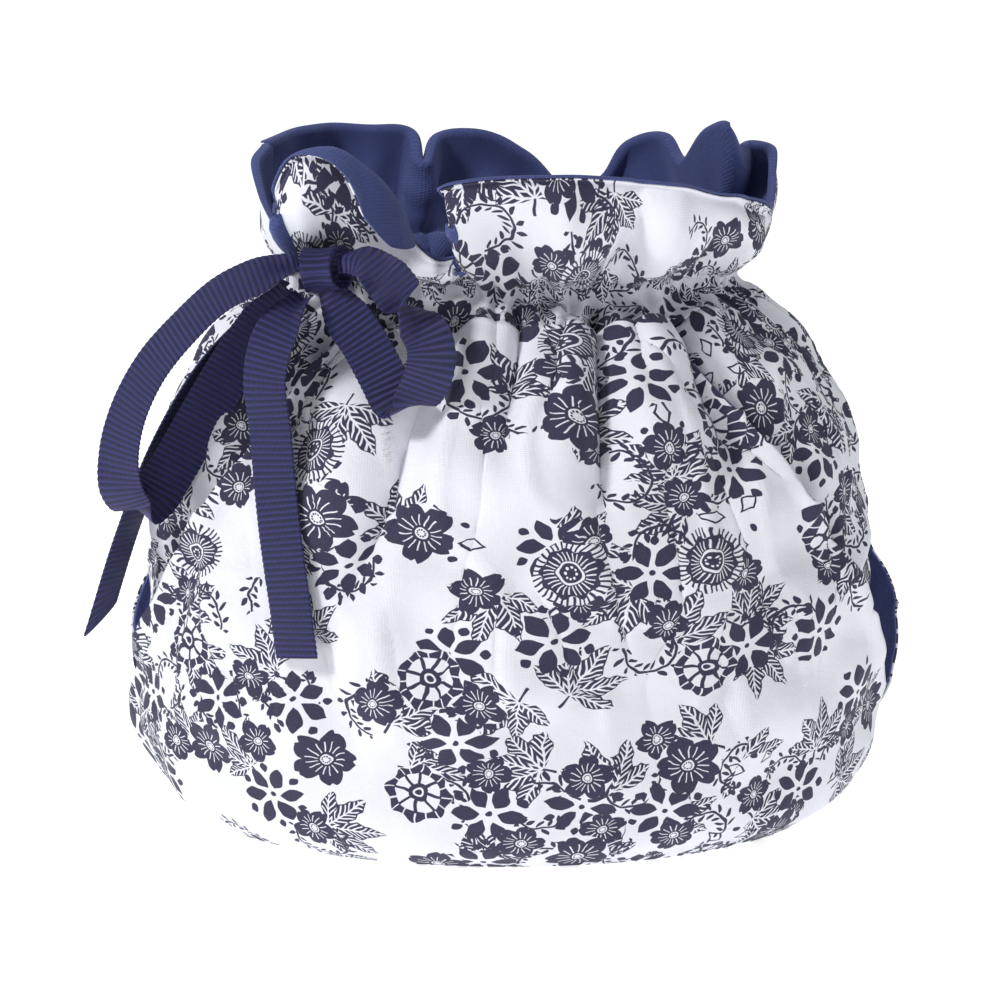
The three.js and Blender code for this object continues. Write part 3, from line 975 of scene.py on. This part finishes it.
WALL_TOP_RISE = CASING_BOTTOM_RISE
WALL_LOW_RISE = float(rise_of(WALL_BOTTOM))
CASING_RISES = (WALL_TOP_RISE, float(rise_of(CASING_TOP)))


def lining_sink(angle, level):
    """The lining hangs a little inside the outer cloth at the casing, with room for the ribbon."""
    sink = -2.2 * smoothstep(level, 5, CASING_BOTTOM) * (1 - smoothstep(level, 7.2, 7.6))
    return sink + beside_pocket(angle, level)


for side, (left, right) in {"front": FRONT, "back": BACK}.items():
    wall_edges = straight(left + SEAM_HALF, right - SEAM_HALF)
    wall = cloth_panel(
        f"wall_{side}", wall_edges, (WALL_LOW_RISE, WALL_TOP_RISE), WALL_SPACING,
        OUTER_OFFSET, COTTON, PRINTED, extra=beside_pocket,
    )
    declare(wall, "bag", "printed_cotton", [f"outer_{side}"])
    inner_rises = (WALL_LOW_RISE + INNER_START, CASING_RISES[1])
    inner_wall = cloth_panel(
        f"inner_wall_{side}", wall_edges, inner_rises, 2.2, INNER_OFFSET, COTTON, LINING,
        extra=lining_sink,
    )
    declare(inner_wall, "bag", "navy_lining", [f"lining_{side}"])
    casing = cloth_panel(
        f"gathered_casing_{side}", wall_edges, CASING_RISES, 1.1, OUTER_OFFSET, 0.8, PRINTED
    )
    declare(
        casing, "bag", "printed_cotton", [f"casing_{side}"],
    )

POCKET_RISES = (WALL_LOW_RISE, float(rise_of(POCKET_TOP)))
POCKET_CUT_FROM = 740.0  # millimetres along the printed cloth from where the walls were cut
pocket_levels = level_of(np.linspace(*POCKET_RISES, 60))
pocket_widths = 2 * mouth_angle(pocket_levels) * GIRTH / 360
pocket_flat = (float(np.max(pocket_widths)) * MM, (POCKET_RISES[1] - POCKET_RISES[0]) * MM)
pocket_area = float(np.mean(pocket_widths)) * MM * pocket_flat[1]
for side, (centre, gape) in {"front": (0.0, 2.2), "back": (180.0, 11.0)}.items():
    layers = [
        (f"pocket_{side}", PRINTED, 1.9, "printed_cotton", f"{side}_pocket"),
        (f"pocket_lining_{side}", LINING, 0.8, "navy_lining", f"{side}_pocket_lining"),
    ]
    for piece_name, material, offset, slot_name, node_name in layers:
        piece = cloth_panel(
            piece_name, pocket_edges(centre), POCKET_RISES, 1.5, offset, COTTON, material,
            extra=pocket_gape(centre, gape), cut_from=POCKET_CUT_FROM,
        )
        declare(piece, "bag", slot_name, [node_name], area=pocket_area)


def oval_base(name, half_width, half_depth, bottom, thickness, material, crown):
    """A slightly crowned oval of cloth."""
    rings = np.linspace(0.02, 1, 26)
    turns = np.linspace(0, 2 * math.pi, 145)
    x = rings[:, None] * half_width * np.sin(turns)
    y = -rings[:, None] * half_depth * np.cos(turns)
    z = bottom + crown * (1 - rings[:, None] ** 2) * (0.7 + 0.3 * np.sin(x / 17) * np.cos(y / 13))
    under = np.stack([x, y, z], -1)
    over = under + np.array([0, 0, thickness])
    return closed_shell(name, over[::-1], under[::-1], x[::-1] + 310, y[::-1] - 90, material)


BASES = {
    "base_outside": ("outer_base", "printed_cotton", PRINTED, (99, 63), 0.0, 0.9, 0.6),
    "base_inside": ("lining_base", "navy_lining", LINING, (97.8, 61.8), 1.6, 0.7, 0.7),
}
for name, (node, slot, material, halves, bottom, thickness, crown) in BASES.items():
    base = oval_base(name, *halves, bottom, thickness, material, crown)
    flat = tuple(2 * half * MM for half in halves)
    declare(base, "bag", slot, [node], area=math.pi / 4 * flat[0] * flat[1])

# ---------------------------------------------------------------- heading frill
# The rim seen from above, left seam to right seam: x, y, z and the angle at which that cloth leaves
# the casing.
FRONT_RIM = [
    (-78, 18, 217, -100),
    (-80, 6, 213, -93),
    (-78, -8, 205, -86),
    (-73, -22, 196, -80),
    (-69, -31, 190, -74),
    (-68, -40, 200, -69),
    (-72, -46, 215, -64),
    (-66, -50, 225, -58),
    (-56, -51, 227, -51),
    (-47, -47, 221, -46),
    (-42, -40, 211, -41),
    (-36, -33, 200, -36),
    (-30, -32, 193, -32),
    (-23, -36, 190, -27),
    (-15, -42, 193, -22),
    (-10, -52, 201, -17),
    (-14, -62, 212, -12),
    (-19, -68, 219, -7),
    (-10, -71, 222, -2),
    (12, -67, 222, 8),
    (32, -63, 221, 21),
    (52, -60, 218, 38),
    (70, -48, 212, 56),
    (80, -30, 205, 72),
    (83, -8, 202, 85),
]
BACK_RIM = [
    (83, -8, 202, 85),
    (85, 4, 208, 92),
    (85, 15, 216, 99),
    (79, 22, 217, 105),
    (75, 15, 216, 110),
    (70, 6, 226, 116),
    (64, 12, 223, 122),
    (58, 30, 210, 128),
    (51, 42, 216, 135),
    (41, 47, 213, 143),
    (30, 49, 200, 152),
    (16, 51, 197, 164),
    (4, 52, 208, 176),
    (-8, 52, 215, 187),
    (-22, 48, 215, 199),
    (-28, 38, 208, 206),
    (-34, 46, 217, 213),
    (-52, 46, 218, 229),
    (-68, 38, 219, 245),
    (-78, 18, 217, 260),
]
# Folds that run up the frill: the angle where each starts, its width in degrees and its height.
FRILL_FOLDS = [
    (0, 4.0, -5.5),
    (12, 6.0, 3.0),
    (27, 3.6, -5.5),
    (38, 6.0, 3.0),
    (52, 3.6, -4.5),
    (64, 4.5, 2.2),
    (150, 5.0, -4.0),
    (172, 6.0, 3.5),
    (207, 4.0, -4.0),
    (236, 6.0, 2.5),
]
LIP_ROWS = 12  # rows of the rim's turned-over edge
HEADING_ROWS = 34
HEADING_STEP = 0.9
HEADING_RISE = 36.0
CASING_TOP_RISE = CASING_RISES[1]


def heading_grid(rim):
    """Points of the frill from the casing up to its rim, and their cloth coordinates."""
    knots = np.arange(len(rim), dtype=float)
    low, high = rim[0][3], rim[-1][3]
    columns = int(abs(high - low) * GIRTH / 360 / HEADING_STEP)
    angle = np.linspace(low, high, columns)
    at = np.interp(angle, [r[3] for r in rim], knots)
    top = centripetal([r[:3] for r in rim], at)
    level = np.full_like(angle, CASING_TOP - 0.03)
    foot = body_point(angle, level)
    turn = np.radians(angle)
    outward = np.stack([np.sin(turn), -np.cos(turn), np.zeros_like(turn)], -1)
    up = np.array([0, 0, 1.0])
    drop = (top - foot)[:, 2:3]
    spread = (top - foot) * np.array([1, 1, 0])
    control_low = foot + up * 0.22 * drop + spread * 0.30 + outward * 1.0
    control_high = top - up * 0.45 * drop + spread * 0.10 + outward * 2.5
    t = np.linspace(0, 1, HEADING_ROWS)[:, None, None]
    smooth = (
        foot * (1 - t) ** 3 + 3 * control_low * t * (1 - t) ** 2
        + 3 * control_high * t**2 * (1 - t) + top * t**3
    )
    u = np.repeat((angle * GIRTH / 360)[None, :], HEADING_ROWS, axis=0)
    rise = t[:, 0, 0] * HEADING_RISE
    v = CASING_TOP_RISE + np.repeat(rise[:, None], columns, axis=1)
    fade = np.exp(-((rise / 13) ** 1.5))[:, None]
    height = 3.4 * fade * gathers(u)
    wide = np.sqrt(np.cos(u * math.pi / 31.0 + 0.5) ** 2 + 0.05)
    height += 2.6 * bump(rise, 13, 13)[:, None] * wide
    height += 1.5 * smoothstep(rise, 6, 26)[:, None] * swell(u, v, 13, 21)
    for start, width, depth in FRILL_FOLDS:
        rising = smoothstep(rise, 2, 12) * (1 - 0.55 * smoothstep(rise, 20, 36))
        height += depth * rising[:, None] * bump(angle, start, width)[None, :]
    height *= 0.3 + 0.7 * smoothstep(np.linalg.norm(top - foot, axis=1), 8, 28)
    points = smooth + grid_normals(smooth) * height[..., None]
    lip = 1.3 - 0.9 * bump(angle, -73, 6) - 0.8 * bump(angle, -23, 6)
    lip += 22.0 * bump(angle, -43, 8) + 2.0 * bump(angle, 66, 9)
    folded_over = bump(angle, -43, 9)
    turned = 2.1 + 0.9 * folded_over
    tightness = 1 + 2.0 * folded_over
    rim_up = points[-1] - points[-3]
    rim_up /= np.linalg.norm(rim_up, axis=-1, keepdims=True)
    rim_out = grid_normals(points)[-1]
    share = (np.arange(LIP_ROWS)[:, None] + 0.5) / LIP_ROWS
    bend = (turned * np.minimum(share * tightness, 1))[..., None]
    steps = (rim_up * np.cos(bend) + rim_out * np.sin(bend)) * lip[None, :, None] / LIP_ROWS
    rolled = points[-1] + np.cumsum(steps, axis=0)
    lip_v = v[-1:] + (share + 0.5 / LIP_ROWS) * lip[None, :]
    points = np.concatenate([points, rolled])
    return points, np.concatenate([u, u[:LIP_ROWS]]), np.concatenate([v, lip_v])


def heading_pieces(side, rim):
    points, u, v = heading_grid(rim)
    facing = grid_normals(points)
    up_rim = points[-1] - points[-2]
    up_rim /= np.linalg.norm(up_rim, axis=-1, keepdims=True)
    outer = closed_shell(f"frill_{side}", points, points - facing * 0.6, u, v, PRINTED)
    inside = points - facing * 0.95
    deeper = points - facing * 1.6
    roll = 0.7 * up_rim
    inside = np.concatenate([inside, (inside[-1] + roll)[None]])
    deeper = np.concatenate([deeper, (deeper[-1] + roll)[None]])
    lip_u = np.concatenate([u, u[-1:]])
    lip_v = np.concatenate([v, v[-1:] + 0.7])
    lining = closed_shell(f"frill_lining_{side}", inside, deeper, lip_u, lip_v, LINING)
    width = (rim[-1][3] - rim[0][3]) * GIRTH / 360 * MM
    return outer, lining, (abs(width), HEADING_RISE * MM)


FRILLS = {
    "front": (FRONT_RIM, "mouth_front", -1.0, ["heading_front", "heading_left"]),
    "back": (BACK_RIM, "mouth_back", 1.0, ["heading_back", "heading_right"]),
}
for side, (rim, mouth, sign, nodes) in FRILLS.items():
    outer, lining, flat = heading_pieces(side, rim)
    for piece, slot_name, ending in ((outer, "printed_cotton", ""), (lining, "navy_lining", "_lining")):
        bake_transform(piece)
        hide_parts(*[f"{node}{ending}" for node in nodes])


# ---------------------------------------------------------------- stitches and the hidden ribbon
def stitch_row(name, level, node):
    """A row of short stitches that follows the gathers round the casing."""
    pitch, length, radius = 2.6, 1.9, 0.28
    count = int(GIRTH / pitch)
    starts = np.arange(count) * pitch / GIRTH * 360 - 180
    vertices, faces, uvs = [], [], []
    ring = [(math.cos(a), math.sin(a)) for a in np.arange(5) * 2 * math.pi / 5]
    for start in starts:
        angle = start + np.linspace(0, 1, 4) * length / GIRTH * 360
        levels = np.full(4, level)
        height = fold_height(angle, levels)
        place = body_point(angle, levels)
        turn = np.radians(angle)
        outward = np.stack([np.sin(turn), -np.cos(turn), np.zeros(4)], -1)
        sink = np.array([-0.25, 0.12, 0.12, -0.25])
        place = place + outward * (height + sink)[:, None]
        first = len(vertices)
        for k in range(4):
            for c, s in ring:
                around = outward[k] * c * radius + np.array([0, 0, s * radius])
                vertices.append((place[k] + around) * MM)
                uvs.append((angle[k] * GIRTH / 360 / CLOTH_PER_UV, s * radius / CLOTH_PER_UV))
        for k in range(3):
            for j in range(5):
                a, b = first + k * 5 + j, first + k * 5 + (j + 1) % 5
                faces.append((a, b, b + 5, a + 5))
        faces.append(tuple(first + j for j in range(4, -1, -1)))
        faces.append(tuple(first + 15 + j for j in range(5)))
    mesh = bpy.data.meshes.new(name)
    mesh.from_pydata([tuple(p) for p in vertices], [], faces)
    layer = mesh.uv_layers.new(name=CLOTH_UV)
    for loop in mesh.loops:
        layer.data[loop.index].uv = uvs[loop.vertex_index]
    for polygon in mesh.polygons:
        polygon.use_smooth = True
    mesh.materials.append(THREAD)
    mesh.update()
    piece = link(bpy.data.objects.new(name, mesh))
    attach(piece, "bag", "thread", node)


stitch_row("stitches_below_ribbon", 6.32, "casing_stitch_lower")
stitch_row("stitches_above_ribbon", 7.4, "casing_stitch_upper")

hidden = cloth_panel(
    "ribbon_in_casing", straight(-35.0, 295.0), (float(rise_of(6.45)), float(rise_of(7.3))), 1.4,
    -1.9, 0.5, RIBBON,
)
attach(hidden, "bag", "navy_ribbon", "drawstring_in_casing")


# ---------------------------------------------------------------- floor and light
def make_floor():
    graph = Graph("pale_floor")
    texture = graph.node("ShaderNodeTexCoord")
    grain = graph.noise(texture.outputs["Object"], 9.0, dimensions="3D")
    colour = graph.mix(grain, (0.90, 0.90, 0.905, 1), (0.93, 0.93, 0.935, 1))
    shader = graph.node("ShaderNodeBsdfPrincipled")
    graph.feed(shader.inputs["Base Color"], colour)
    shader.inputs["Roughness"].default_value = 0.9
    shader.inputs["Specular IOR Level"].default_value = 0.0
    shader.inputs["Emission Color"].default_value = (1, 1, 1, 1)
    shader.inputs["Emission Strength"].default_value = 0.74
    output = graph.node("ShaderNodeOutputMaterial")
    graph.tree.links.new(shader.outputs[0], output.inputs[0])
    mesh = bpy.data.meshes.new("floor")
    mesh.from_pydata([(-30, -30, 0), (30, -30, 0), (30, 30, 0), (-30, 30, 0)], [], [(0, 1, 2, 3)])
    mesh.materials.append(graph.material)
    link(bpy.data.objects.new("floor", mesh))


make_floor()


def make_studio(strength):
    """Even soft light from all round. Past the floor's edge the camera sees plain white."""
    world = bpy.data.worlds.new("studio")
    world.use_nodes = True
    tree = world.node_tree
    soft = tree.nodes["Background"]
    soft.inputs["Color"].default_value = (1, 1, 1, 1)
    soft.inputs["Strength"].default_value = strength
    backdrop = tree.nodes.new("ShaderNodeBackground")
    backdrop.inputs["Color"].default_value = (1, 1, 1, 1)
    rays = tree.nodes.new("ShaderNodeLightPath")
    chosen = tree.nodes.new("ShaderNodeMixShader")
    tree.links.new(rays.outputs["Is Camera Ray"], chosen.inputs[0])
    tree.links.new(soft.outputs[0], chosen.inputs[1])
    tree.links.new(backdrop.outputs[0], chosen.inputs[2])
    tree.links.new(chosen.outputs[0], tree.nodes["World Output"].inputs["Surface"])
    bpy.context.scene.world = world


make_studio(SOFT_LIGHT)
make_light("key", (-0.75, -0.50, 0.80), 0.22, 7.4)
make_light("fill", (1.0, -0.6, 0.6), 0.5, 1.3)
make_light("top", (0.15, 0.15, 1.2), 0.4, 2.6)
bpy.context.scene.view_settings.view_transform = "Standard"
